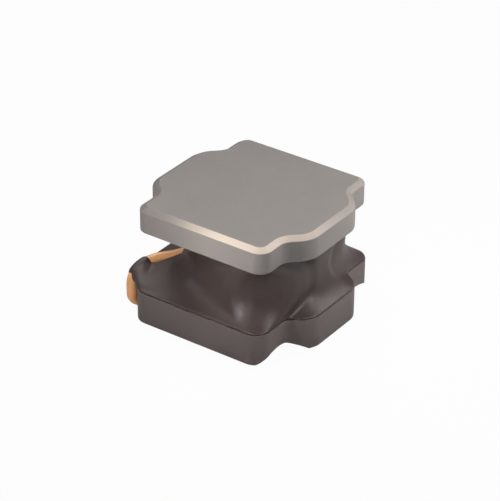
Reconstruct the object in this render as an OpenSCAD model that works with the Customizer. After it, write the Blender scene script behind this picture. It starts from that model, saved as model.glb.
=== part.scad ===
// Semi-shielded surface-mount power inductor.
// A one-piece ferrite drum core carries a two-layer winding of enamelled copper wire.
// Magnetic resin closes the winding, and both wire ends run down the recessed corners
// into shallow grooves under the core, where solder joins them to the two terminals.
// Millimetres. The board's surface is z = 0, the leads come down on the -X side.

/* [Drum core] */
// Length of the lower flange along X
base_length = 6; // [5.8:0.05:6.6]
// Width of the lower flange along Y
base_width = 5.9; // [5.8:0.05:6.4]
// Thickness of the lower flange
base_thickness = 1; // [0.8:0.05:1.3]
// Length of the upper flange along X
cap_length = 5.8; // [5.6:0.05:6]
// Width of the upper flange along Y
cap_width = 5.52; // [5.4:0.02:5.9]
// Thickness of the upper flange
cap_thickness = 0.8; // [0.6:0.05:1.2]
// Width of the chamfer round the top face, seen from above
chamfer_width = 0.2; // [0.1:0.01:0.25]
// Height of the chamfer round the top face
chamfer_height = 0.13; // [0.08:0.01:0.3]
// Height of the winding window between the flanges
window_height = 1.98; // [1.6:0.02:2.6]
// Diameter of the post that carries the winding
post_diameter = 2.1; // [1.8:0.05:2.2]

/* [Corner recesses] */
// Depth of the lower flange's recess beside its middle
base_recess = 0.655; // [0.55:0.005:0.7]
// Half width of the lower flange's full-length middle
base_middle = 1.19; // [1:0.01:1.3]
// Run of the lower flange's slope from middle to recess
base_slope = 0.43; // [0.35:0.01:0.6]
// Radius of the lower flange's four corners
base_corner_radius = 0.5; // [0.3:0.02:0.6]
// Radius in the valley of the lower flange's recess
base_valley_radius = 0.22; // [0.1:0.02:0.4]
// Radius where the lower flange's middle turns into the slope
base_shoulder_radius = 0.7; // [0.3:0.02:0.8]
// Depth of the upper flange's recess beside its middle
cap_recess = 0.6; // [0.45:0.01:0.7]
// Half width of the upper flange's full-length middle
cap_middle = 1.17; // [1:0.01:1.3]
// Run of the upper flange's slope from middle to recess
cap_slope = 0.57; // [0.45:0.01:0.65]
// Radius of the upper flange's four corners
cap_corner_radius = 0.42; // [0.3:0.02:0.5]
// Radius in the valley of the upper flange's recess
cap_valley_radius = 0.46; // [0.2:0.02:0.5]
// Radius where the upper flange's middle turns into the slope
cap_shoulder_radius = 0.8; // [0.4:0.02:0.9]

/* [Wire grooves] */
// Distance between the middles of the two grooves
groove_spacing = 4.06; // [3.8:0.02:4.1]
// Width of each groove where it meets the underside
groove_width = 1.68; // [1.4:0.02:1.7]
// Depth of each groove
groove_depth = 0.3; // [0.26:0.01:0.35]

/* [Winding] */
// Diameter of the enamelled wire
wire_diameter = 0.34; // [0.26:0.01:0.36]
// Space between neighbouring turns and layers
turn_gap = 0.015; // [0.01:0.005:0.04]
// Space where the finish lead crosses over the start lead
crossing_gap = 0.05; // [0.03:0.01:0.1]
// Thickness of the wire where it is pressed flat in its groove
flat_thickness = 0.24; // [0.18:0.01:0.26]
// Space between the hanging lead and the face of the recess
lead_standoff = 0.2; // [0.1:0.01:0.22]
// Distance of the hanging lead from the side of the lower flange
lead_inset = 0.55; // [0.45:0.01:0.7]
// Length of wire that lies in the groove
tail_length = 3.2; // [2.4:0.1:3.8]

/* [Magnetic resin] */
// How far the resin's waist draws in from the lower flange's rim
waist_inset = 0.5; // [0.3:0.02:0.54]
// How far the waist draws in on the side where the leads come out
lead_side_inset = 1.1; // [0.9:0.02:1.12]
// Corner radius of the resin's waist
waist_radius = 1.66; // [1.4:0.02:1.8]
// Distance from the resin's foot to the lower flange's rim
foot_inset = 0.02; // [0.01:0.01:0.06]
// Distance from the resin's top to the upper flange's rim
brim_inset = 0.16; // [0.05:0.01:0.25]
// How much narrower the waist is where the leads come out, as a share of its width
lead_side_narrowing = 0.28; // [0.2:0.01:0.3]
// Height of the resin's upright edge against each flange
resin_lip = 0.05; // [0.03:0.01:0.08]
// Thickness of the resin over the bend of each lead
lead_cover = 0.05; // [0.04:0.01:0.1]

/* [Terminals] */
// Length of each plated terminal
terminal_length = 4.1; // [3.8:0.05:4.2]
// Width of each plated terminal
terminal_width = 1.5; // [1.4:0.02:1.56]
// Thickness of the plating
plating_thickness = 0.03; // [0.02:0.005:0.05]
// Length of the solder on each terminal
solder_length = 3.9; // [3.6:0.05:4]
// Width of the solder on each terminal
solder_width = 1.36; // [1.2:0.02:1.44]
// Height that the solder lifts the core off the board
board_gap = 0.05; // [0.03:0.01:0.1]

/* [Hidden] */

// Clearance between pieces that lie against each other
fit_gap = 0.008;
// How far cutting shapes run past what they cut
cut_over = 0.1;
$fn = 96;

// Heights of the core's faces
base_top = board_gap + base_thickness;
cap_bottom = base_top + window_height;
part_height = cap_bottom + cap_thickness;

// Steps in each rounded corner of an outline
corner_steps = 6;

// Outlines: half length, half length at the recess, half width, where the recess
// starts, where the middle ends, then the corner, valley and shoulder radii
base_shape = [base_length / 2, base_length / 2 - base_recess, base_width / 2,
              base_middle + base_slope, base_middle,
              base_corner_radius, base_valley_radius, base_shoulder_radius];
cap_shape = [cap_length / 2, cap_length / 2 - cap_recess, cap_width / 2,
             cap_middle + cap_slope, cap_middle,
             cap_corner_radius, cap_valley_radius, cap_shoulder_radius];

// The resin's waist is nearly a rounded square, so its recess is shallow and blunt
waist_recess = 0.06;
waist_middle = 0.3;
waist_slope = 0.2;
waist_blend_radius = 0.3;
waist_half = base_length / 2 - waist_inset;
waist_shape = [waist_half, waist_half - waist_recess, base_width / 2 - waist_inset,
               waist_middle + waist_slope, waist_middle,
               waist_radius, waist_blend_radius, waist_blend_radius];
resin_rings = 14;
// Where along the length the waist starts to narrow toward the leads, and over what run
narrow_start = 0.8;
narrow_run = 2.6;

// Resin beside the leads: how far back, how far out and how high each lump's ball lies
fill_neck = [-1.8, 0.95, 0.42];
fill_shelf = [-0.9, 1.95, 0.22];
fill_under = [-2.1, 1.35, 0.12];
fill_corner = [-2.2, 2.65, 0.07];
fill_rim = [-1.2, 2.66, 0.04];
fill_radius = 0.12;
// Radius of the channel above the bare part of a lead
channel_radius = 0.34;

// Grooves: the circle whose arc has the groove's width and depth
groove_y = groove_spacing / 2;
groove_radius = (pow(groove_width / 2, 2) + pow(groove_depth, 2)) / (2 * groove_depth);
groove_axis_z = board_gap + groove_depth - groove_radius;
lining_radius = groove_radius - plating_thickness;

// Winding
wire_radius = wire_diameter / 2;
turn_pitch = wire_diameter + turn_gap;
inner_layer_radius = post_diameter / 2 + turn_gap + wire_radius;
outer_layer_radius = inner_layer_radius + turn_pitch;
coil_radius = outer_layer_radius + wire_radius;
inner_turns = floor((window_height - wire_diameter - 2 * fit_gap) / turn_pitch);
first_turn_z = base_top + fit_gap + wire_radius;
last_turn_z = first_turn_z + inner_turns * turn_pitch;
finish_z = first_turn_z + wire_diameter + crossing_gap;
// Angles at which the start lead joins the inner layer and the finish lead leaves the outer
start_angle = 195;
finish_angle = 165;
// Angle over which the wire steps from the inner to the outer layer
step_angle = 60;
outer_partial = (finish_angle - start_angle - step_angle + 720) % 360 / 360;
outer_turns = floor((last_turn_z - finish_z) / turn_pitch - outer_partial) + outer_partial;
turn_steps = 24;
wire_sides = 8;

// Leads: the face they hang beside, and the height at which they cross the rim
recess_face = base_length / 2 - base_recess;
hang_x = recess_face + lead_standoff + wire_radius;
hang_y = base_width / 2 - lead_inset;
hang_top_z = base_top - 0.2 * base_thickness;
groove_wire_z = groove_axis_z + lining_radius - flat_thickness / 2 - fit_gap;
// The bend under the core ends a little before the recess face
mouth_gap = 0.05;
bend_radius = lead_standoff + wire_radius - mouth_gap;
bend_pull = 0.6 * bend_radius;
rim_drop = 0.05;
lead_steps = 7;
rim_pull = 0.7;
hang_pull = 0.45;
coil_pull = 0.75;

function unit(v) = v / norm(v);
function mix(a, b, t) = a * (1 - t) + b * t;

// Arc of radius r that rounds the corner v between its neighbours p and n
function rounded(p, v, n, r) =
    let (u = unit(p - v), w = unit(n - v), half = acos(u * w) / 2,
         centre = v + unit(u + w) * r / sin(half),
         first = v + u * r / tan(half) - centre,
         turn = (u[0] * w[1] - u[1] * w[0] > 0 ? -1 : 1) * (180 - 2 * half),
         from = atan2(first[1], first[0]))
    [for (k = [0:corner_steps]) let (a = from + turn * k / corner_steps)
        centre + r * [cos(a), sin(a)]];

// The three corners of one quarter of an outline, from the middle of +X to +Y
function quarter(s) = [[s[0], s[4], s[7]], [s[1], s[3], s[6]], [s[1], s[2], s[5]]];
function flipped(list) = [for (i = [len(list) - 1:-1:0]) list[i]];
function corners(s) =
    let (q = quarter(s), r = flipped(q))
    concat(q, [for (c = r) [-c[0], c[1], c[2]]],
           [for (c = q) [-c[0], -c[1], c[2]]], [for (c = r) [c[0], -c[1], c[2]]]);
function flat(c) = [c[0], c[1]];
function outline(s) =
    let (c = corners(s), n = len(c))
    [for (i = [0:n - 1])
        each rounded(flat(c[(i + n - 1) % n]), flat(c[i]), flat(c[(i + 1) % n]), c[i][2])];

// The same outline drawn in by an even distance all round
function drawn_in(s, d) =
    let (run = s[0] - s[1], rise = s[3] - s[4], slope = norm([run, rise]),
         slide = d * (slope - rise) / run)
    [s[0] - d, s[1] - d, s[2] - d, s[3] - slide, s[4] - slide, s[5] - d, s[6] + d, s[7] - d];

// Closed solid through rings of equally many points
module skin(rings) {
    n = len(rings[0]);
    last = len(rings) - 1;
    polyhedron(
        points = [for (r = rings) each r],
        faces = concat(
            [[for (i = [0:n - 1]) i]],
            [for (k = [0:last - 1], i = [0:n - 1]) let (a = k * n + i, b = k * n + (i + 1) % n)
                each [[a, a + n, b + n], [a, b + n, b]]],
            [[for (i = [n - 1:-1:0]) last * n + i]]),
        convexity = 8);
}

function ring(s, z) = [for (p = outline(s)) [p[0], p[1], z]];

// Rounded flange with straight sides
module flange(s, height) linear_extrude(height) polygon(outline(s));

module groove(y, radius, length)
    translate([0, y, groove_axis_z]) rotate([0, 90, 0]) cylinder(r = radius, h = length, center = true);

module drum_core() color([0.45, 0.42, 0.41]) {
    difference() {
        translate([0, 0, board_gap]) flange(base_shape, base_thickness);
        for (side = [-1, 1]) groove(side * groove_y, groove_radius, base_length + 2 * cut_over);
    }
    translate([0, 0, base_top - cut_over]) cylinder(d = post_diameter, h = window_height + 2 * cut_over);
    skin([ring(cap_shape, cap_bottom), ring(cap_shape, part_height - chamfer_height),
          ring(drawn_in(cap_shape, chamfer_width), part_height)]);
}

// Cubic curve from a to d that sets out along u and arrives along w
function curve(a, u, d, w, pull_a, pull_d, steps) =
    let (b = a + unit(u) * pull_a, c = d - unit(w) * pull_d)
    [for (k = [1:steps]) let (t = k / steps)
        pow(1 - t, 3) * a + 3 * pow(1 - t, 2) * t * b + 3 * (1 - t) * t * t * c + pow(t, 3) * d];

function on_coil(r, a, z) = [r * cos(a), r * sin(a), z];
function along(a) = [-sin(a), cos(a), 0];
function mirrored(list) = [for (p = list) [p[0], -p[1], p[2]]];

// Lead from where it crosses the rim to its end in the front groove
function rim_point(z) = [-recess_face, -base_middle, z];
rim_heading = [-1, -1, -rim_drop];
hang_top = [-hang_x, -hang_y, hang_top_z];
bend_top = [-hang_x, -hang_y, groove_wire_z + bend_radius];
groove_in = [-hang_x + bend_radius, -groove_y, groove_wire_z];
groove_end = groove_in + [tail_length, 0, 0];
down = [0, 0, -1];
function over_rim(z) = concat([rim_point(z)],
    curve(rim_point(z), rim_heading, hang_top, down, rim_pull, hang_pull, lead_steps));
function lead(z) = concat(over_rim(z), [bend_top],
    curve(bend_top, down, groove_in, [1, 0, 0], bend_pull, bend_pull, lead_steps),
    [groove_end]);

start_rim_z = first_turn_z + fit_gap;
finish_rim_z = base_top + 0.12 + wire_radius;
inner_layer = [for (k = [0:inner_turns * turn_steps]) let (t = k / turn_steps)
    on_coil(inner_layer_radius, start_angle + 360 * t, first_turn_z + turn_pitch * t)];
layer_step = [for (k = [1:3]) let (t = k / 4)
    on_coil(mix(inner_layer_radius, outer_layer_radius, t), start_angle + step_angle * t, last_turn_z)];
outer_count = ceil(outer_turns * turn_steps);
outer_layer = [for (k = [0:outer_count]) let (t = k / outer_count)
    on_coil(outer_layer_radius, start_angle + step_angle + 360 * outer_turns * t,
            mix(last_turn_z, finish_z, t))];
start_joint = inner_layer[0];
finish_joint = outer_layer[outer_count];
start_run = curve(mirrored([rim_point(start_rim_z)])[0], [1, -1, 0],
                  start_joint, along(start_angle), coil_pull, coil_pull, lead_steps);
finish_run = curve(finish_joint, along(finish_angle), rim_point(finish_rim_z), rim_heading,
                   coil_pull, coil_pull, lead_steps);
start_lead = flipped(mirrored(lead(start_rim_z)));
finish_lead = lead(finish_rim_z);

function without_last(list) = [for (i = [0:len(list) - 2]) list[i]];
wire_path = concat(start_lead, without_last(start_run), inner_layer, layer_step, outer_layer,
                   without_last(finish_run), finish_lead);

// Direction of travel at a point of a route
function heading(path, i) =
    unit(path[min(i + 1, len(path) - 1)] - path[max(i - 1, 0)]);

// Which way the wire's thickness points: up in the coil, and away from the middle of
// the lower flange's tab where a lead wraps round it
function thickness_way(p) =
    norm([p[0], p[1]]) < coil_radius ? [0, 0, 1]
    : [p[0] + recess_face - wire_diameter, 0, p[2] - board_gap - base_thickness / 2];
function squared(v, t) = unit(v - (v * t) * t);

// How flat the wire is at a point: 0 is round, 1 is pressed flat in its groove
function pressed(p) = max(0, min(1, (groove_wire_z + bend_radius - p[2]) / bend_radius));

// Tube along a route; extra widens it all round
module wire(path, extra = 0) {
    flat_width = pow(wire_diameter, 2) / flat_thickness;
    skin([for (i = [0:len(path) - 1])
        let (t = heading(path, i), n = squared(thickness_way(path[i]), t), side = cross(n, t),
             f = pressed(path[i]),
             high = mix(wire_diameter, flat_thickness, f) / 2 + extra,
             wide = mix(wire_diameter, flat_width, f) / 2 + extra)
        [for (k = [0:wire_sides - 1]) let (a = 360 * (k + 0.5) / wire_sides)
            path[i] + side * wide * cos(a) + n * high * sin(a)]]);
}

module winding() color([0.87, 0.57, 0.31]) wire(wire_path);

// Share of the narrowing that the waist gets at a place along the part's length
function narrowed(x) =
    let (share = max(0, min(1, (narrow_start - x) / narrow_run)))
    share * share * (3 - 2 * share);

// Resin surface at a share of the window's height: a hollow curve that leaves each
// flange flat and stands upright at the waist
function resin_ring(t, z) =
    let (hollow = sqrt(1 - pow(1 - 2 * t, 2)),
         end = t < 0.5 ? drawn_in(base_shape, foot_inset) : drawn_in(cap_shape, brim_inset),
         squeeze = mix(1, (base_length / 2 - lead_side_inset) / waist_half, hollow))
    [for (p = ring(mix(end, waist_shape, hollow), z))
        [p[0] * (p[0] < 0 ? squeeze : 1), p[1] * (1 - lead_side_narrowing * hollow * narrowed(p[0])), p[2]]];

function resin_rings_up() = concat(
    [resin_ring(0, base_top)],
    [for (k = [0:resin_rings]) let (t = (1 - cos(180 * k / resin_rings)) / 2)
        resin_ring(t, base_top + resin_lip + (window_height - 2 * resin_lip) * t)],
    [resin_ring(1, cap_bottom)]);

// Ball of resin beside a lead, on the side of the part where the lead is
function fill_ball(p, side, radius) = [[p[0], side * p[1], base_top + p[2]], radius];

// One convex lump of resin round a few balls, each a place and a radius
module lump(balls) hull() for (b = balls) translate(b[0]) sphere(r = b[1], $fn = 16);

// Resin that climbs from the rim to a lead and wraps its bend
module lead_wrap(path) difference() {
    side = sign(path[0][1]);
    skin_radius = wire_radius + lead_cover;
    at_neck = fill_ball(fill_neck, side, fill_radius);
    on_shelf = fill_ball(fill_shelf, side, fill_radius);
    under_lead = fill_ball(fill_under, side, fill_radius);
    at_corner = fill_ball(fill_corner, side, fill_radius);
    at_rim = fill_ball(fill_rim, side, fill_radius / 2);
    beside = [path[2] + [fill_radius, side * fill_radius, -fill_radius], fill_radius];
    union() {
        lump([beside, at_neck, on_shelf, under_lead, at_corner, at_rim]);
        lump([beside, [path[3], skin_radius], at_corner, under_lead]);
        lump([[path[3], skin_radius], [path[4], skin_radius], at_corner]);
        lump([[path[4], skin_radius], [path[5], skin_radius], at_corner]);
    }
    translate([0, 0, base_top - base_thickness])
        flange(drawn_in(base_shape, -fit_gap), base_thickness + foot_inset);
}

// Room over a lead where the resin leaves the wire bare
module lead_channel(run, path) {
    side = sign(path[0][1]);
    aside = [channel_radius / 2, side * channel_radius / 3, channel_radius * 2 / 3];
    above = [0, 0, channel_radius + fill_radius];
    lump([[run[3] + above, channel_radius], [run[3] + above - [channel_radius, 0, 0], channel_radius],
          [path[0] + aside, channel_radius], [path[1] + aside, channel_radius]]);
}

module magnetic_resin() color([0.28, 0.24, 0.23]) difference() {
    union() {
        difference() {
            skin(resin_rings_up());
            lead_channel(finish_run, over_rim(finish_rim_z));
            lead_channel(flipped(start_run), mirrored(over_rim(start_rim_z)));
        }
        lead_wrap(over_rim(finish_rim_z));
        lead_wrap(mirrored(over_rim(start_rim_z)));
    }
    translate([0, 0, base_top - cut_over])
        cylinder(r = coil_radius + fit_gap, h = window_height + 2 * cut_over, $fn = 64);
    wire(concat(finish_run, finish_lead), fit_gap);
    wire(concat(start_lead, start_run), fit_gap);
}

// Plating that lines a groove
module terminal(y) color([0.78, 0.78, 0.76]) intersection() {
    difference() {
        groove(y, groove_radius - fit_gap / 4, terminal_length);
        groove(y, lining_radius, terminal_length + 2 * cut_over);
    }
    translate([-terminal_length / 2, y - terminal_width / 2, board_gap])
        cube([terminal_length, terminal_width, groove_depth]);
}

// Solder that fills a plated groove down to the board and holds the wire's end
module solder(y, lead_path) color([0.70, 0.71, 0.72]) difference() {
    intersection() {
        groove(y, lining_radius - fit_gap / 4, solder_length);
        translate([-solder_length / 2, y - solder_width / 2, 0])
            cube([solder_length, solder_width, board_gap + groove_depth]);
    }
    wire(lead_path, fit_gap / 4);
}

module front_terminal() terminal(-groove_y);
module back_terminal() terminal(groove_y);
module front_solder() solder(-groove_y, finish_lead);
module back_solder() solder(groove_y, start_lead);

drum_core();
winding();
magnetic_resin();
front_terminal();
back_terminal();
front_solder();
back_solder();
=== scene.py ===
from math import acos, atan2, cos, floor, hypot, pi, radians, sin, sqrt, tan
import bmesh
import bpy
from mathutils import Matrix, Vector, noise


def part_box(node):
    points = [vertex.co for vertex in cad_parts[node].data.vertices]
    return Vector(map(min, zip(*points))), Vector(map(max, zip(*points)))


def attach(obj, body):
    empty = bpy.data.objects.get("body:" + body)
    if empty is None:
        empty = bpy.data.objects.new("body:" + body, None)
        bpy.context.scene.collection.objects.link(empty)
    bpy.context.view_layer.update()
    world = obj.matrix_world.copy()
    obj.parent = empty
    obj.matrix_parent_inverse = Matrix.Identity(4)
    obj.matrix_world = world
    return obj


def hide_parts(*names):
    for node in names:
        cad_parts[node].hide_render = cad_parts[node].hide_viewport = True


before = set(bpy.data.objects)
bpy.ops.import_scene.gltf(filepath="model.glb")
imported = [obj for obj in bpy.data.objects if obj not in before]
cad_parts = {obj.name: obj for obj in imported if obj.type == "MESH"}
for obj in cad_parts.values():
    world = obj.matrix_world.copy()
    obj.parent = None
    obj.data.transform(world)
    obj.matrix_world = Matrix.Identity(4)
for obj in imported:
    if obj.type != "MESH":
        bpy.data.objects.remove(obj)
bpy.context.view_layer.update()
mm = 0.001  # pieces are modelled in millimetres and brought to metres at the end
scene = bpy.context.scene


# ---- small helpers -------------------------------------------------------

def newObject(name, bm):
    mesh = bpy.data.meshes.new(name)
    bm.to_mesh(mesh)
    bm.free()
    piece = bpy.data.objects.new(name, mesh)
    scene.collection.objects.link(piece)
    return piece


def bakeModifiers(piece):
    # the modifiers' result becomes the mesh
    graph = bpy.context.evaluated_depsgraph_get()
    graph.update()
    mesh = bpy.data.meshes.new_from_object(piece.evaluated_get(graph))
    piece.modifiers.clear()
    piece.data = mesh


def combine(piece, tool, operation):
    cut = piece.modifiers.new("combine", "BOOLEAN")
    cut.operation = operation
    cut.solver = "EXACT"
    cut.object = tool
    bakeModifiers(piece)
    bpy.data.objects.remove(tool)


def finishPiece(piece, material, slotName, *nodes, sharpAngle=30):
    # to metres, smooth shaded with sharp edges kept, riding on the part's one body
    piece.data.transform(Matrix.Scale(mm, 4))
    piece.data.materials.clear()
    piece.data.materials.append(material)
    for face in piece.data.polygons:
        face.use_smooth = True
        face.material_index = 0
    piece.data.set_sharp_from_angle(angle=radians(sharpAngle))
    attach(piece, "root")
    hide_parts(*nodes)
    print("piece", piece.name, len(piece.data.polygons), "faces")


def low(node):
    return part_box(node)[0] / mm


def high(node):
    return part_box(node)[1] / mm


# ---- outlines of the two flanges and of the resin between them -----------

coreShape = {
    "baseThickness": 1.0,
    "capThickness": 0.8,
    "chamferWidth": 0.2,
    "chamferHeight": 0.13,
    "postDiameter": 2.1,
    "cornerSegments": 14,
    "edgeRound": 0.018,
    "grooveSpacing": 4.06,
    "grooveWidth": 1.68,
    "grooveDepth": 0.3,
}
baseTop = low("drum_core").z + coreShape["baseThickness"]
capBottom = high("drum_core").z - coreShape["capThickness"]
boardGap = low("drum_core").z


def flangeShape(length, width, recess, middle, slope, corner, valley, shoulder):
    return {"halfLength": length / 2, "recessFace": length / 2 - recess, "halfWidth": width / 2,
            "recessStart": middle + slope, "middle": middle,
            "radii": (shoulder, valley, corner)}


baseOutline = flangeShape(high("drum_core").x * 2, high("drum_core").y * 2,
                          0.655, 1.19, 0.43, 0.5, 0.22, 0.7)
capOutline = flangeShape(5.8, 5.52, 0.6, 1.17, 0.57, 0.42, 0.46, 0.8)


def drawnIn(shape, inset):
    run = shape["halfLength"] - shape["recessFace"]
    rise = shape["recessStart"] - shape["middle"]
    slide = inset * (hypot(run, rise) - rise) / run
    shoulder, valley, corner = shape["radii"]
    return {"halfLength": shape["halfLength"] - inset, "recessFace": shape["recessFace"] - inset,
            "halfWidth": shape["halfWidth"] - inset, "recessStart": shape["recessStart"] - slide,
            "middle": shape["middle"] - slide,
            "radii": (shoulder - inset, valley + inset, corner - inset)}


def mixShapes(a, b, t):
    mixed = {key: a[key] * (1 - t) + b[key] * t for key in a if key != "radii"}
    mixed["radii"] = tuple(p * (1 - t) + q * t for p, q in zip(a["radii"], b["radii"]))
    return mixed


def outlineCorners(shape):
    # twelve corners, each with the radius that rounds it
    quarter = [(shape["halfLength"], shape["middle"]), (shape["recessFace"], shape["recessStart"]),
               (shape["recessFace"], shape["halfWidth"])]
    corners = list(zip(quarter, shape["radii"]))
    back = corners[::-1]
    return (corners + [((-x, y), r) for (x, y), r in back]
            + [((-x, -y), r) for (x, y), r in corners] + [((x, -y), r) for (x, y), r in back])


def roundedOutline(shape, segments):
    corners = outlineCorners(shape)
    points = []
    for i, (corner, radius) in enumerate(corners):
        corner = Vector(corner)
        toLast = (Vector(corners[i - 1][0]) - corner).normalized()
        toNext = (Vector(corners[(i + 1) % len(corners)][0]) - corner).normalized()
        half = acos(toLast.dot(toNext)) / 2
        centre = corner + (toLast + toNext).normalized() * radius / sin(half)
        first = corner + toLast * radius / tan(half) - centre
        turn = (pi - 2 * half) * (-1 if toLast.cross(toNext) > 0 else 1)
        points += [centre + Matrix.Rotation(turn * k / segments, 2) @ first
                   for k in range(segments + 1)]
    return points


# ---- drum core: two flanges and the post, one ferrite piece --------------

def flangeSolid(name, shape, bottom, top):
    bm = bmesh.new()
    corners = outlineCorners(shape)
    floorFace = bm.faces.new([bm.verts.new((*xy, bottom)) for xy, radius in corners])
    raised = bmesh.ops.extrude_face_region(bm, geom=[floorFace])["geom"]
    bmesh.ops.translate(bm, vec=(0, 0, top - bottom),
                        verts=[v for v in raised if isinstance(v, bmesh.types.BMVert)])
    run = shape["halfLength"] - shape["recessFace"]
    rise = shape["recessStart"] - shape["middle"]
    bend = atan2(run, rise)
    reach = (tan(bend / 2), tan(bend / 2), 1.0)
    for kind in range(3):  # shoulders, valleys, corners
        places = [Vector(xy) for i, (xy, radius) in enumerate(corners) if (i % 6 if i % 6 < 3 else 5 - i % 6) == kind]
        upright = [e for e in bm.edges
                   if abs(e.verts[0].co.z - e.verts[1].co.z) > (top - bottom) / 2
                   and any((e.verts[0].co.xy - p).length < 1e-4 for p in places)]
        bmesh.ops.bevel(bm, geom=upright, offset=shape["radii"][kind] * reach[kind],
                        offset_type="OFFSET", affect="EDGES", profile=0.5, material=-1,
                        segments=coreShape["cornerSegments"])
    bmesh.ops.recalc_face_normals(bm, faces=bm.faces)
    return bm


def softenEdges(bm, width, minAngle=35):
    sharp = [e for e in bm.edges if len(e.link_faces) == 2 and e.calc_face_angle(0) > radians(minAngle)]
    bmesh.ops.bevel(bm, geom=sharp, offset=width, offset_type="OFFSET", affect="EDGES",
                    profile=0.5, material=-1, segments=2, clamp_overlap=True)


def makeDrumCore(material):
    s = coreShape
    base = flangeSolid("base", baseOutline, boardGap, baseTop)
    softenEdges(base, s["edgeRound"])
    core = newObject("drumCore", base)
    half = s["grooveWidth"] / 2
    radius = (half ** 2 + s["grooveDepth"] ** 2) / (2 * s["grooveDepth"])
    for side in (-1, 1):
        cutter = bmesh.new()
        place = (Matrix.Translation((0, side * s["grooveSpacing"] / 2, boardGap + s["grooveDepth"] - radius))
                 @ Matrix.Rotation(pi / 2, 4, "Y"))
        bmesh.ops.create_cone(cutter, cap_ends=True, segments=128, radius1=radius, radius2=radius,
                              depth=2.4 * baseOutline["halfLength"], matrix=place)
        combine(core, newObject("groove", cutter), "DIFFERENCE")
    cap = flangeSolid("cap", capOutline, capBottom, high("drum_core").z)
    topFace = max(cap.faces, key=lambda f: f.calc_center_median().z)
    bmesh.ops.inset_region(cap, faces=[topFace], thickness=s["chamferWidth"], depth=0,
                           use_even_offset=True, use_boundary=True)
    inner = set(topFace.verts)
    rim = [v for v in cap.verts if v not in inner and v.co.z > high("drum_core").z - 0.01]
    bmesh.ops.translate(cap, vec=(0, 0, -s["chamferHeight"]), verts=rim)
    softenEdges(cap, s["edgeRound"], 25)
    post = bmesh.new()
    bmesh.ops.create_cone(post, cap_ends=True, segments=96, radius1=s["postDiameter"] / 2,
                          radius2=s["postDiameter"] / 2, depth=capBottom - baseTop + 0.2,
                          matrix=Matrix.Translation((0, 0, (capBottom + baseTop) / 2)))
    combine(core, newObject("post", post), "UNION")
    combine(core, newObject("cap", cap), "UNION")
    finishPiece(core, material, "ferrite", "drum_core")
    weighted = core.modifiers.new("flat faces", "WEIGHTED_NORMAL")
    weighted.keep_sharp = True
    return core


# ---- winding: one enamelled wire -----------------------------------------

wireRoute = {
    "diameter": 0.34,
    "turnGap": 0.015,
    "crossingGap": 0.05,
    "flatThickness": 0.24,
    "leadStandoff": 0.2,
    "leadInset": 0.55,
    "tailLength": 3.2,
    "mouthGap": 0.05,
    "startAngle": 195,
    "finishAngle": 165,
    "stepAngle": 60,
    "turnSteps": 48,
    "leadSteps": 16,
    "sides": 20,
}


def curvePoints(start, setOut, end, arrive, pullStart, pullEnd, steps):
    b = start + setOut.normalized() * pullStart
    c = end - arrive.normalized() * pullEnd
    points = []
    for k in range(1, steps + 1):
        t = k / steps
        points.append((1 - t) ** 3 * start + 3 * (1 - t) ** 2 * t * b
                      + 3 * (1 - t) * t * t * c + t ** 3 * end)
    return points


def onCoil(radius, angle, z):
    return Vector((radius * cos(radians(angle)), radius * sin(radians(angle)), z))


def along(angle):
    return Vector((-sin(radians(angle)), cos(radians(angle)), 0))


def mirrored(points):
    return [Vector((p.x, -p.y, p.z)) for p in points]


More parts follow.
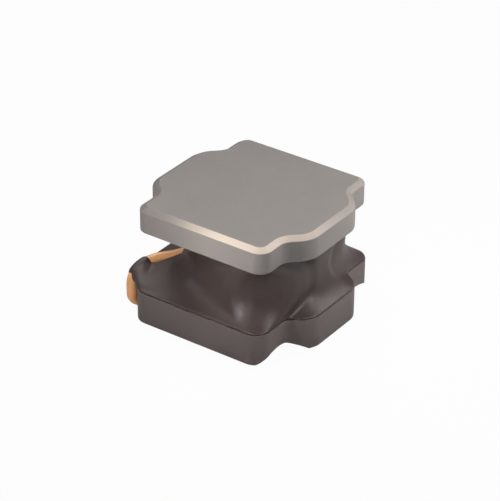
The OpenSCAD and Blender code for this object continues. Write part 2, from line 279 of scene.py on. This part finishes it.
def wirePath():
    w = wireRoute
    radius = w["diameter"] / 2
    gap = 0.008
    pitch = w["diameter"] + w["turnGap"]
    inner = coreShape["postDiameter"] / 2 + w["turnGap"] + radius
    outer = inner + pitch
    turns = floor((capBottom - baseTop - w["diameter"] - 2 * gap) / pitch)
    firstZ = baseTop + gap + radius
    lastZ = firstZ + turns * pitch
    finishZ = firstZ + w["diameter"] + w["crossingGap"]
    partial = (w["finishAngle"] - w["startAngle"] - w["stepAngle"]) % 360 / 360
    outerTurns = floor((lastZ - finishZ) / pitch - partial) + partial

    recessFace, middle = baseOutline["recessFace"], baseOutline["middle"]
    hangX = recessFace + w["leadStandoff"] + radius
    hangY = baseOutline["halfWidth"] - w["leadInset"]
    grooveY = coreShape["grooveSpacing"] / 2
    grooveZ = boardGap + coreShape["grooveDepth"] - 0.03 - w["flatThickness"] / 2 - gap
    bend = w["leadStandoff"] + radius - w["mouthGap"]
    down, inward = Vector((0, 0, -1)), Vector((1, 0, 0))
    heading = Vector((-1, -1, -0.05))

    def lead(z):
        crossing = Vector((-recessFace, -middle, z))
        hangTop = Vector((-hangX, -hangY, baseTop - 0.2 * coreShape["baseThickness"]))
        bendTop = Vector((-hangX, -hangY, grooveZ + bend))
        grooveIn = Vector((bend - hangX, -grooveY, grooveZ))
        steps = w["leadSteps"]
        return ([crossing] + curvePoints(crossing, heading, hangTop, down, 0.7, 0.45, steps) + [bendTop]
                + curvePoints(bendTop, down, grooveIn, inward, 0.6 * bend, 0.6 * bend, steps)
                + [grooveIn + inward * w["tailLength"]])

    startLead = mirrored(lead(firstZ + gap))[::-1]
    finishLead = lead(baseTop + 0.12 + radius)
    steps = w["turnSteps"]
    innerLayer = [onCoil(inner, w["startAngle"] + 360 * k / steps, firstZ + pitch * k / steps)
                  for k in range(turns * steps + 1)]
    rise = [onCoil(inner + (outer - inner) * k / 6, w["startAngle"] + w["stepAngle"] * k / 6, lastZ)
            for k in range(1, 6)]
    count = round(outerTurns * steps)
    outerLayer = [onCoil(outer, w["startAngle"] + w["stepAngle"] + 360 * outerTurns * k / count,
                         lastZ + (finishZ - lastZ) * k / count) for k in range(count + 1)]
    startRun = curvePoints(startLead[-1], Vector((1, -1, 0)), innerLayer[0], along(w["startAngle"]),
                           0.75, 0.75, w["leadSteps"])
    finishRun = curvePoints(outerLayer[-1], along(w["finishAngle"]), finishLead[0], heading,
                            0.75, 0.75, w["leadSteps"])
    path = (startLead + startRun[:-1] + innerLayer + rise + outerLayer + finishRun[:-1] + finishLead)
    leadRuns = ((finishRun, finishLead), (startRun[::-1], startLead[::-1]))
    return path, grooveZ, bend, outer + radius, leadRuns


def makeWinding(material):
    w = wireRoute
    path, grooveZ, bend, coilRadius, leadRuns = wirePath()
    flatWidth = w["diameter"] ** 2 / w["flatThickness"]
    bm = bmesh.new()
    along_ = bm.verts.layers.float.new("alongWire")
    lastRing, travelled = None, 0.0
    for i, p in enumerate(path):
        t = (path[min(i + 1, len(path) - 1)] - path[max(i - 1, 0)]).normalized()
        if p.xy.length < coilRadius:
            n = Vector((0, 0, 1))
        else:
            n = Vector((p.x + baseOutline["recessFace"] - w["diameter"], 0, p.z - boardGap - 0.5))
        n = (n - n.dot(t) * t).normalized()
        side = n.cross(t)
        pressed = max(0.0, min(1.0, (grooveZ + bend - p.z) / bend))
        thick = w["diameter"] * (1 - pressed) + w["flatThickness"] * pressed
        wide = w["diameter"] * (1 - pressed) + flatWidth * pressed
        place = Matrix.Translation(p) @ Matrix((side, n, t)).transposed().to_4x4() @ Matrix.Diagonal((wide / 2, thick / 2, 1, 1))
        made = bmesh.ops.create_circle(bm, cap_ends=False, radius=1, segments=w["sides"], matrix=place)
        ring = made["verts"]
        if i:
            travelled += (p - path[i - 1]).length
        for v in ring:
            v[along_] = travelled
        ringEdges = list({e for v in ring for e in v.link_edges})
        if lastRing:
            bmesh.ops.bridge_loops(bm, edges=lastRing + ringEdges)
        lastRing = ringEdges
    bmesh.ops.holes_fill(bm, edges=[e for e in bm.edges if e.is_boundary], sides=0)
    bmesh.ops.recalc_face_normals(bm, faces=bm.faces)
    winding = newObject("enamelledWire", bm)
    finishPiece(winding, material, "enamelled_copper", "winding", sharpAngle=50)
    return leadRuns


# ---- magnetic resin between the flanges ----------------------------------

resinShape = {
    "waistInset": 0.5,
    "hollowPower": 0.74,
    "leadSideInset": 1.12,
    "leadSideNarrow": 0.28,
    "narrowFrom": 0.8,
    "narrowOver": 2.6,
    "waistRadius": 1.66,
    "footInset": 0.012,
    "brimInset": 0.16,
    "rings": 26,
    "voxel": 0.042,
    "smoothing": 5,
    "softening": 34,
    "softReach": 1.15,
    "softEverywhere": 0.3,
    "wireSkinAndPaintedShade": 0.03,
    "lip": 0.05,
    "channelRadius": 0.34,
}


def ballHull(balls):
    # one convex lump round a few balls
    round_ = bmesh.new()
    for place, radius in balls:
        bmesh.ops.create_icosphere(round_, subdivisions=2, radius=radius,
                                   matrix=Matrix.Translation(place))
    bm = bmesh.new()
    for v in round_.verts:
        bm.verts.new(v.co)
    round_.free()
    bmesh.ops.convex_hull(bm, input=bm.verts)
    bmesh.ops.delete(bm, geom=[v for v in bm.verts if not v.link_faces], context="VERTS")
    bmesh.ops.recalc_face_normals(bm, faces=bm.faces)
    return newObject("lump", bm)


def makeResin(material, leadRuns):
    r = resinShape
    foot = drawnIn(baseOutline, r["footInset"])
    brim = drawnIn(capOutline, r["brimInset"])
    waistHalf = baseOutline["halfLength"] - r["waistInset"]
    waist = {"halfLength": waistHalf, "recessFace": waistHalf - 0.06,
             "halfWidth": baseOutline["halfWidth"] - r["waistInset"],
             "recessStart": 0.5, "middle": 0.3, "radii": (0.3, 0.3, r["waistRadius"])}
    squeezed = (baseOutline["halfLength"] - r["leadSideInset"]) / waistHalf
    bm = bmesh.new()
    lastRing = None
    for k in range(-1, r["rings"] + 2):
        t = (1 - cos(pi * min(r["rings"], max(0, k)) / r["rings"])) / 2
        hollow = (1 - (1 - 2 * t) ** 2) ** r["hollowPower"]
        shape = mixShapes(foot if t < 0.5 else brim, waist, hollow)
        squeeze = 1 + (squeezed - 1) * hollow
        z = baseTop + r["lip"] + (capBottom - baseTop - 2 * r["lip"]) * t
        z = baseTop if k < 0 else capBottom if k > r["rings"] else z
        ring = []
        for p in roundedOutline(shape, 6):
            share = min(1, max(0, (r["narrowFrom"] - p.x) / r["narrowOver"]))
            narrow = 1 - r["leadSideNarrow"] * hollow * share * share * (3 - 2 * share)
            ring.append(bm.verts.new((p.x * (squeeze if p.x < 0 else 1), p.y * narrow, z)))
        ringEdges = [bm.edges.new((ring[i - 1], ring[i])) for i in range(len(ring))]
        if lastRing:
            bmesh.ops.bridge_loops(bm, edges=lastRing + ringEdges)
        lastRing = ringEdges
    bmesh.ops.holes_fill(bm, edges=[e for e in bm.edges if e.is_boundary], sides=0)
    bmesh.ops.recalc_face_normals(bm, faces=bm.faces)
    resin = newObject("magneticResin", bm)

    # where each lead leaves: a channel that bares the wire, then a thin skin over its bend
    wireRadius = wireRoute["diameter"] / 2
    skin = wireRadius + r["wireSkinAndPaintedShade"]
    wide = r["channelRadius"]
    for run, lead in leadRuns:
        side = 1 if lead[0].y > 0 else -1
        near = Vector((0.17, 0.12 * side, 0.22))
        combine(resin, ballHull([(run[-8] + Vector((0.05, 0, wide + 0.1)), wide), (run[-1] + near, wide),
                                 (run[-8] + Vector((-0.4, 0, wide + 0.1)), wide),
                                 (lead[3] + near, wide)]), "DIFFERENCE")
    for run, lead in leadRuns:
        side = 1 if lead[0].y > 0 else -1
        inner = (Vector((-1.80, 0.95 * side, baseTop + 0.42)), 0.12)
        shelf = (Vector((-0.9, 1.95 * side, baseTop + 0.22)), 0.12)
        rimMiddle = (Vector((-1.2, 2.66 * side, baseTop + 0.03)), 0.07)
        rimCorner = (Vector((-2.2, 2.68 * side, baseTop + 0.06)), 0.1)
        under = (Vector((-2.1, 1.35 * side, baseTop + 0.12)), 0.12)
        beside = (lead[4] + Vector((0.12, 0.16 * side, -0.1)), 0.1)
        for balls in ([beside, inner, rimCorner, rimMiddle, under, shelf],
                      [beside, (lead[6], skin), (lead[7], skin), rimCorner],
                      [(lead[6], skin), (lead[8], skin), (lead[10], skin), rimCorner],
                      [(lead[9], skin), (lead[11], skin), rimCorner]):
            combineLoose(resin, ballHull(balls))
    remesh = resin.modifiers.new("one skin", "REMESH")
    remesh.mode = "VOXEL"
    remesh.voxel_size = r["voxel"]
    bakeModifiers(resin)
    weights = resin.vertex_groups.new(name="nearLead")
    for v in resin.data.vertices:
        reach = min((v.co - p).length for run, lead in leadRuns for p in (run[-1], lead[4], lead[8], lead[12]))
        up = min(1, max(0, (v.co.z - baseTop - 0.03) / 0.12), max(0, (capBottom - 0.05 - v.co.z) / 0.1))
        weights.add([v.index], max(r["softEverywhere"], 1 - reach / r["softReach"]) * up, "REPLACE")
    smooth = resin.modifiers.new("soften", "SMOOTH")
    smooth.factor, smooth.iterations = 0.5, r["smoothing"]
    blend = resin.modifiers.new("blend", "SMOOTH")
    blend.factor, blend.iterations = 0.9, r["softening"]
    blend.vertex_group = weights.name
    bakeModifiers(resin)
    resin.vertex_groups.clear()
    # the skin over the bend stays a little outside the wire
    for v in resin.data.vertices:
        for run, lead in leadRuns:
            step, near = min(((v.co - p).length, p) for p in lead[6:12])
            if 0.02 < step < skin:
                v.co = near + (v.co - near) * (skin / step)
    finishPiece(resin, material, "magnetic_resin", "magnetic_resin", sharpAngle=80)
    return resin


def combineLoose(piece, extra):
    # the extra shell joins the piece's mesh; the remesh makes one skin of them
    bm = bmesh.new()
    bm.from_mesh(piece.data)
    bm.from_mesh(extra.data)
    bm.to_mesh(piece.data)
    bm.free()
    bpy.data.objects.remove(extra)


# ---- materials -----------------------------------------------------------

def newGroup(name, inputs, outputs):
    # a shader node group with named sockets; gives its tree, its input node and its output node
    tree = bpy.data.node_groups.new(name, "ShaderNodeTree")
    for socketName, kind, value in inputs:
        socket = tree.interface.new_socket(socketName, in_out="INPUT", socket_type=kind)
        if value is not None:
            socket.default_value = value
    for socketName, kind in outputs:
        tree.interface.new_socket(socketName, in_out="OUTPUT", socket_type=kind)
    return tree, tree.nodes.new("NodeGroupInput"), tree.nodes.new("NodeGroupOutput")


def addNode(tree, kind, inputs=None, **settings):
    node = tree.nodes.new("ShaderNode" + kind)
    for key, value in settings.items():
        setattr(node, key, value)
    for key, value in (inputs or {}).items():
        if isinstance(value, bpy.types.NodeSocket):
            tree.links.new(value, node.inputs[key])
        else:
            node.inputs[key].default_value = value
    return node


def ramp(tree, value, low_, high_, toLow=0.0, toHigh=1.0):
    return addNode(tree, "MapRange", {0: value, 1: low_, 2: high_, 3: toLow, 4: toHigh},
                   clamp=True, interpolation_type="SMOOTHSTEP").outputs[0]


def mixColors(tree, share, first, second, blend="MIX"):
    return addNode(tree, "Mix", {0: share, 6: first, 7: second},
                   data_type="RGBA", blend_type=blend).outputs[2]


def times(tree, first, second):
    return addNode(tree, "Math", {0: first, 1: second}, operation="MULTIPLY").outputs[0]


vector, number, colour = "NodeSocketVector", "NodeSocketFloat", "NodeSocketColor"


def makeGrainGroup():
    # pressed powder: fine grains, soft mottling and a few open pores
    tree, given, out = newGroup(
        "pressedGrain",
        [("Vector", vector, None), ("Color", colour, (0.5, 0.5, 0.5, 1)), ("Grains per mm", number, 22.0),
         ("Contrast", number, 0.1), ("Pores", number, 0.3), ("Relief", number, 0.002)],
        [("Color", colour), ("Roughness shift", number), ("Height", number)])
    perMetre = times(tree, given.outputs["Grains per mm"], 1000.0)
    fine = addNode(tree, "TexNoise", {"Vector": given.outputs["Vector"], "Scale": perMetre,
                                      "Detail": 3.0, "Roughness": 0.6}).outputs[0]
    mottle = addNode(tree, "TexNoise", {"Vector": given.outputs["Vector"], "Scale": 900.0,
                                        "Detail": 2.0}).outputs[0]
    cells = addNode(tree, "TexVoronoi", {"Vector": given.outputs["Vector"],
                                         "Scale": times(tree, perMetre, 0.35)}).outputs["Distance"]
    pore = times(tree, ramp(tree, cells, 0.05, 0.16, 1.0, 0.0), given.outputs["Pores"])
    shade = addNode(tree, "Math", {0: ramp(tree, fine, 0.3, 0.7, -0.5, 0.5),
                                   1: ramp(tree, mottle, 0.3, 0.7, -0.4, 0.4)}, operation="ADD").outputs[0]
    bright = addNode(tree, "Math", {0: times(tree, shade, given.outputs["Contrast"]), 1: 1.0},
                     operation="ADD").outputs[0]
    grainy = addNode(tree, "VectorMath", {0: given.outputs["Color"], 1: bright}, operation="MULTIPLY").outputs[0]
    tree.links.new(mixColors(tree, times(tree, pore, 0.6), grainy, (0.03, 0.026, 0.024, 1)), out.inputs["Color"])
    tree.links.new(times(tree, shade, 0.12), out.inputs["Roughness shift"])
    relief = addNode(tree, "Math", {0: shade, 1: pore}, operation="SUBTRACT").outputs[0]
    tree.links.new(times(tree, relief, given.outputs["Relief"]), out.inputs["Height"])
    return tree


def makeHeightGroup():
    # share below a height, with a ragged edge; it masks the painted shade on the lower flange and the band that takes
    # the painted chamfer highlight
    tree, given, out = newGroup(
        "shareBelowHeight",
        [("Vector", vector, None), ("Height", number, 0.001), ("Fade", number, 0.0002), ("Ragged", number, 0.0001)],
        [("Share", number)])
    z = addNode(tree, "SeparateXYZ", {0: given.outputs["Vector"]}).outputs[2]
    wave = addNode(tree, "TexNoise", {"Vector": given.outputs["Vector"], "Scale": 1500.0}).outputs[0]
    edge = addNode(tree, "Math", {0: times(tree, wave, given.outputs["Ragged"]), 1: given.outputs["Height"]},
                   operation="ADD").outputs[0]
    top = addNode(tree, "Math", {0: edge, 1: given.outputs["Fade"]}, operation="ADD").outputs[0]
    tree.links.new(ramp(tree, z, edge, top, 1.0, 0.0), out.inputs["Share"])
    return tree


def makeWearGroup():
    # handling marks: faint rubbed patches and hair scratches
    tree, given, out = newGroup(
        "handling",
        [("Vector", vector, None), ("Amount", number, 0.3)],
        [("Rubbed", number), ("Scratch height", number)])
    patches = addNode(tree, "TexNoise", {"Vector": given.outputs["Vector"], "Scale": 650.0,
                                         "Detail": 4.0}).outputs[0]
    stretched = addNode(tree, "Mapping", {"Vector": given.outputs["Vector"], "Rotation": (0, 0, 0.5),
                                          "Scale": (1.0, 14.0, 1.0)}).outputs[0]
    hairs = addNode(tree, "TexNoise", {"Vector": stretched, "Scale": 700.0, "Detail": 2.0,
                                       "Distortion": 0.3}).outputs[0]
    tree.links.new(times(tree, ramp(tree, patches, 0.45, 0.75), given.outputs["Amount"]), out.inputs["Rubbed"])
    tree.links.new(times(tree, ramp(tree, hairs, 0.62, 0.7), given.outputs["Amount"]),
                   out.inputs["Scratch height"])
    return tree


def makeDrawnWireGroup():
    # enamel over drawn wire: shade drifts along it, with fine lines
    tree, given, out = newGroup(
        "drawnWire",
        [("Vector", vector, None), ("Color", colour, (0.8, 0.4, 0.2, 1)), ("Dark color", colour, (0.5, 0.2, 0.1, 1))],
        [("Color", colour), ("Height", number)])
    drift = addNode(tree, "TexNoise", {"Vector": given.outputs["Vector"], "Scale": 1800.0, "Detail": 3.0}).outputs[0]
    lines = addNode(tree, "TexNoise", {"Vector": given.outputs["Vector"], "Scale": 14000.0, "Detail": 2.0}).outputs[0]
    tree.links.new(mixColors(tree, ramp(tree, drift, 0.35, 0.75, 0.0, 0.55), given.outputs["Color"],
                             given.outputs["Dark color"]), out.inputs["Color"])
    tree.links.new(times(tree, lines, 0.0006), out.inputs["Height"])
    return tree


grainGroup, heightGroup = makeGrainGroup(), makeHeightGroup()
wearGroup, wireGroup = makeWearGroup(), makeDrawnWireGroup()


def newMaterial(name):
    material = bpy.data.materials.new(name)
    material.use_nodes = True
    tree = material.node_tree
    place = addNode(tree, "TexCoord").outputs["Object"]
    return material, tree, tree.nodes["Principled BSDF"], place


def useGroup(tree, group, inputs):
    node = tree.nodes.new("ShaderNodeGroup")
    node.node_tree = group
    for key, value in inputs.items():
        if isinstance(value, bpy.types.NodeSocket):
            tree.links.new(value, node.inputs[key])
        else:
            node.inputs[key].default_value = value
    return node.outputs


def setBump(tree, shader, height, strength=0.6):
    bump = addNode(tree, "Bump", {"Height": height, "Strength": strength, "Distance": mm})
    tree.links.new(bump.outputs[0], shader.inputs["Normal"])


def makeFerrite():
    material, tree, shader, place = newMaterial("ferrite")
    grain = useGroup(tree, grainGroup, {"Vector": place, "Color": ferriteLook["bare"],
                                        "Grains per mm": 20.0, "Contrast": 0.07, "Pores": 0.22, "Relief": 0.004})
    wear = useGroup(tree, wearGroup, {"Vector": place, "Amount": 0.25})
    # painted shade: below a ragged line just above the lower flange's top, the ferrite is coloured darker to stand in
    # for the shade the lower flange sits in; there is no coating there
    wireSkinAndPaintedShade = useGroup(tree, heightGroup, {"Vector": place, "Height": (baseTop + 0.15) * mm,
                                        "Fade": 0.0003, "Ragged": 0.0001})["Share"]
    # painted highlight: the band between the chamfer's lower edge and the top face is coloured light cream, strongest
    # at the front right and fading towards the left and the back, the way a lamp's glint would fall on it
    ground = useGroup(tree, heightGroup, {"Vector": place, "Fade": 0.00001, "Ragged": 0.0,
                                          "Height": (high("drum_core").z - coreShape["chamferHeight"]) * mm})["Share"]
    topFace = useGroup(tree, heightGroup, {"Vector": place, "Fade": 0.000006, "Ragged": 0.0,
                                           "Height": (high("drum_core").z - 0.009) * mm})["Share"]
    axes = addNode(tree, "SeparateXYZ", {0: place}).outputs
    chamfer = addNode(tree, "Math", {0: topFace, 1: ground}, operation="SUBTRACT").outputs[0]
    chamfer = times(tree, chamfer, times(tree, ramp(tree, axes[0], -0.0016, 0.001),
                                         ramp(tree, axes[1], -0.0026, 0.001, 1.0, 0.12)))
    # the grain colour takes the painted shade of the lower flange, then the painted chamfer highlight
    withPaintedLight = mixColors(tree, wireSkinAndPaintedShade, grain["Color"], ferriteLook["wireSkinAndPaintedShade"])
    withPaintedLight = mixColors(tree, chamfer, withPaintedLight, ferriteLook["chamfer"])
    # the wear patches go over the colour that carries the painted shade and the painted highlight
    rubbed = mixColors(tree, times(tree, wear["Rubbed"], 0.35), withPaintedLight, ferriteLook["rubbed"])
    tree.links.new(rubbed, shader.inputs["Base Color"])
    rough = addNode(tree, "Math", {0: grain["Roughness shift"], 1: ferriteLook["roughness"]}, operation="ADD").outputs[0]
    tree.links.new(rough, shader.inputs["Roughness"])
    height = addNode(tree, "Math", {0: grain["Height"], 1: times(tree, wear["Scratch height"], -0.002)},
                     operation="ADD").outputs[0]
    setBump(tree, shader, height)
    return material


def makeResinMaterial():
    material, tree, shader, place = newMaterial("magneticResin")
    grain = useGroup(tree, grainGroup, {"Vector": place, "Color": resinLook["color"],
                                        "Grains per mm": 26.0, "Contrast": 0.22, "Pores": 0.12, "Relief": 0.003})
    tree.links.new(grain["Color"], shader.inputs["Base Color"])
    rough = addNode(tree, "Math", {0: grain["Roughness shift"], 1: resinLook["roughness"]}, operation="ADD").outputs[0]
    tree.links.new(rough, shader.inputs["Roughness"])
    setBump(tree, shader, grain["Height"], 0.45)
    return material


def makeCopper():
    material, tree, shader, place = newMaterial("enamelledCopper")
    wire = useGroup(tree, wireGroup, {"Vector": place, "Color": copperLook["color"], "Dark color": copperLook["dark"]})
    tree.links.new(wire["Color"], shader.inputs["Base Color"])
    shader.inputs["Metallic"].default_value = 0.05
    shader.inputs["Roughness"].default_value = 0.4
    shader.inputs["Coat Weight"].default_value = 0.6
    shader.inputs["Coat Roughness"].default_value = 0.22
    setBump(tree, shader, wire["Height"], 0.4)
    return material


def makeMetal(name, color, roughness, relief):
    material, tree, shader, place = newMaterial(name)
    grain = useGroup(tree, grainGroup, {"Vector": place, "Color": color, "Grains per mm": 9.0,
                                        "Contrast": 0.12, "Pores": 0.05, "Relief": relief})
    wear = useGroup(tree, wearGroup, {"Vector": place, "Amount": 0.5})
    tree.links.new(grain["Color"], shader.inputs["Base Color"])
    rough = addNode(tree, "Math", {0: times(tree, wear["Rubbed"], 0.25), 1: roughness}, operation="ADD").outputs[0]
    tree.links.new(rough, shader.inputs["Roughness"])
    shader.inputs["Metallic"].default_value = 1.0
    setBump(tree, shader, grain["Height"], 0.5)
    return material


# the second colour is painted shade for the lower flange and the third a painted highlight along the cap's chamfer;
# the first and the fourth are the ferrite's own colour and its wear
ferriteLook = {"bare": (0.232, 0.214, 0.205, 1), "wireSkinAndPaintedShade": (0.125, 0.103, 0.1, 1), "chamfer": (0.62, 0.535, 0.455, 1),
               "rubbed": (0.26, 0.245, 0.235, 1), "roughness": 0.5}
resinLook = {"color": (0.052, 0.036, 0.034, 1), "roughness": 0.46}
copperLook = {"color": (0.98, 0.5, 0.22, 1), "dark": (0.85, 0.4, 0.17, 1)}
ferrite, copper, resinMaterial = makeFerrite(), makeCopper(), makeResinMaterial()
platingMaterial = makeMetal("tinPlating", (0.66, 0.65, 0.62, 1), 0.3, 0.001)
solderMaterial = makeMetal("solder", (0.58, 0.59, 0.6, 1), 0.26, 0.004)

print("drum core")
makeDrumCore(ferrite)
print("winding")
leadRuns = makeWinding(copper)
print("resin")
makeResin(resinMaterial, leadRuns)

for node, look in (("front_terminal", platingMaterial), ("back_terminal", platingMaterial),
                   ("front_solder", solderMaterial), ("back_solder", solderMaterial)):
    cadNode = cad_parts[node]
    cadNode.data.materials.clear()
    cadNode.data.materials.append(look)


# ---- camera, floor and light ---------------------------------------------

cameraView = {
    "azimuth": 35.07, "elevation": 30.73, "roll": 0.54, "lens": 166.97, "distance": 70.22,
    "target": (-0.513, 0.581, 1.346),
}


def makeCamera():
    a, e = radians(cameraView["azimuth"]), radians(cameraView["elevation"])
    back = Vector((sin(a) * cos(e), -cos(a) * cos(e), sin(e)))
    data = bpy.data.cameras.new("camera")
    data.sensor_width = 36
    data.lens = cameraView["lens"]
    data.clip_start, data.clip_end = 0.001, 10
    camera = bpy.data.objects.new("camera", data)
    scene.collection.objects.link(camera)
    camera.location = (Vector(cameraView["target"]) + back * cameraView["distance"]) * mm
    turn = (-back).to_track_quat("-Z", "Y").to_matrix().to_4x4()
    camera.rotation_mode = "QUATERNION"
    camera.rotation_quaternion = (turn @ Matrix.Rotation(radians(cameraView["roll"]), 4, "Z")).to_quaternion()
    scene.camera = camera


def makeFloor():
    bm = bmesh.new()
    bmesh.ops.create_grid(bm, x_segments=1, y_segments=1, size=0.4)
    ground = newObject("floor", bm)
    material = bpy.data.materials.new("floor")
    material.use_nodes = True
    tree = material.node_tree
    nodes, links = tree.nodes, tree.links
    nodes.clear()
    out = nodes.new("ShaderNodeOutputMaterial")
    mix = nodes.new("ShaderNodeMixShader")
    diffuse = nodes.new("ShaderNodeBsdfDiffuse")
    diffuse.inputs["Color"].default_value = (0.6, 0.6, 0.6, 1)
    glow = nodes.new("ShaderNodeEmission")
    glow.inputs["Strength"].default_value = 1.0
    path = nodes.new("ShaderNodeLightPath")
    share = nodes.new("ShaderNodeMath")
    share.operation = "MULTIPLY"
    share.inputs[1].default_value = 0.96
    links.new(path.outputs["Is Camera Ray"], share.inputs[0])
    links.new(share.outputs[0], mix.inputs[0])
    links.new(diffuse.outputs[0], mix.inputs[1])
    links.new(glow.outputs[0], mix.inputs[2])
    links.new(mix.outputs[0], out.inputs[0])
    ground.data.materials.append(material)


def areaLight(name, place, target, size, power, color=(1, 1, 1)):
    data = bpy.data.lights.new(name, "AREA")
    data.shape = "RECTANGLE"
    data.size, data.size_y = size[0] * mm, size[1] * mm
    data.energy = power
    data.color = color
    lamp = bpy.data.objects.new(name, data)
    scene.collection.objects.link(lamp)
    lamp.location = Vector(place) * mm
    lamp.rotation_mode = "QUATERNION"
    lamp.rotation_quaternion = (Vector(target) - Vector(place)).to_track_quat("-Z", "Y")
    lamp.visible_camera = False
    return lamp


def makeWorld():
    world = bpy.data.worlds.new("studio")
    scene.world = world
    world.use_nodes = True
    background = world.node_tree.nodes["Background"]
    background.inputs["Color"].default_value = (1, 1, 1, 1)
    background.inputs["Strength"].default_value = 0.15


makeCamera()
makeFloor()
makeWorld()
areaLight("key", (-18, 14, 42), (0, 0, 3), (34, 34), 0.0112, (1, 0.99, 0.98))
areaLight("frontGlow", (0.6, -6.0, 4.0), (0.6, -2.9, 3.4), (0.6, 1.4), 0.00012, (1, 0.96, 0.93))
areaLight("sideGlow", (6.4, 2.8, 4.1), (2.9, 2.3, 3.4), (0.7, 1.4), 0.00009, (1, 0.96, 0.93))
areaLight("chamferGlow", (-3, -7.5, 20), (1.4, -2.7, 3.8), (6, 6), 0.0004, (1, 0.93, 0.84))
areaLight("backGlow", (10.2, 15.5, 14.8), (2.5, 0, 1.3), (9, 9), 0.0013, (1, 0.97, 0.96))
areaLight("cornerGlow", (14.1, -0.5, 17.3), (2.1, -1.9, 1.3), (4, 4), 0.0016, (1, 0.97, 0.96))
areaLight("leadGlow", (-4.6, -5.4, 5.0), (-2.3, -1.5, 1.4), (0.9, 0.9), 0.00005, (1, 0.95, 0.9))
scene.view_settings.view_transform = "Standard"
